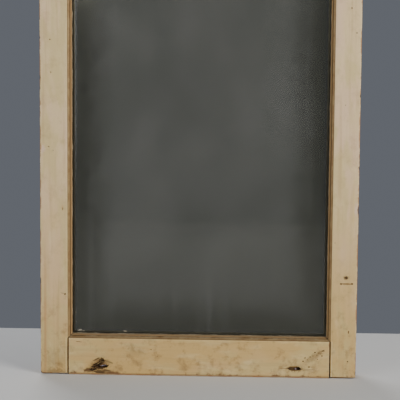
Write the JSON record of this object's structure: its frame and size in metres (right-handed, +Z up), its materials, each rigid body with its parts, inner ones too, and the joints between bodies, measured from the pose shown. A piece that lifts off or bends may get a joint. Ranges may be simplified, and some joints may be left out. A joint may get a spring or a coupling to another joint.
{
  "type": "casement window",
  "caption": "Glazed timber casement sash with moulded stiles and rails, puttied pane and butt hinges on one edge, opening outwards.",
  "frame": {"origin": "bottom centre of the bounding box of the whole object", "axes": "+X runs from the hanging stile to the closing stile as seen from the room side, +Y from the room side to the outside, +Z up"},
  "size_m": [0.495, 0.0426, 0.714],
  "materials": {
    "cream_paint": "softwood under old cream oil paint, dull, worn at the arrises",
    "bare_wood": "bare, darkened",
    "old_putty": "hard linseed putty, painted, cracked",
    "window_glass": "dusty old sheet glass",
    "rusty_steel": "brown rust with a little bright metal",
    "hinge_steel": "dark, paint-stained, lightly rusted",
    "screw_steel": "dark, worn bright at the slots"
  },
  "bodies": {
    "frame_side": {"upper_hinge_frame_leaf": "hinge_steel", "lower_hinge_frame_leaf": "hinge_steel", "upper_hinge_pin": "screw_steel", "lower_hinge_pin": "screw_steel"},
    "sash": {"hanging_stile": "cream_paint", "closing_stile": "cream_paint", "top_rail": "cream_paint", "bottom_rail": "cream_paint", "tenon_wedge_1": "bare_wood", "tenon_wedge_2": "bare_wood", "tenon_wedge_3": "bare_wood", "tenon_wedge_4": "bare_wood", "tenon_wedge_5": "bare_wood", "tenon_wedge_6": "bare_wood", "tenon_wedge_7": "bare_wood", "tenon_wedge_8": "bare_wood", "joint_pin_1": "bare_wood", "joint_pin_2": "bare_wood", "joint_pin_3": "bare_wood", "joint_pin_4": "bare_wood", "bed_putty": "old_putty", "putty_hanging_side": "old_putty", "putty_closing_side": "old_putty", "putty_top": "old_putty", "putty_bottom": "old_putty", "glass_pane": "window_glass", "glazing_point_1": "rusty_steel", "glazing_point_2": "rusty_steel", "glazing_point_3": "rusty_steel", "glazing_point_4": "rusty_steel", "glazing_point_5": "rusty_steel", "glazing_point_6": "rusty_steel", "glazing_point_7": "rusty_steel", "glazing_point_8": "rusty_steel", "nail_stub_left": "rusty_steel", "nail_stub_right": "rusty_steel", "upper_hinge_sash_leaf": "hinge_steel", "lower_hinge_sash_leaf": "hinge_steel", "upper_hinge_screw_1": "screw_steel", "upper_hinge_screw_2": "screw_steel", "upper_hinge_screw_3": "screw_steel", "lower_hinge_screw_1": "screw_steel", "lower_hinge_screw_2": "screw_steel", "lower_hinge_screw_3": "screw_steel"}
  },
  "joints": [
    {"name": "sash_swing", "type": "hinge", "parent": "frame_side", "child": "sash", "pos_m": [-0.24395, 0.01765, 0.1118], "axis": [0, 0, 1], "range_deg": [0, 180]}
  ]
}
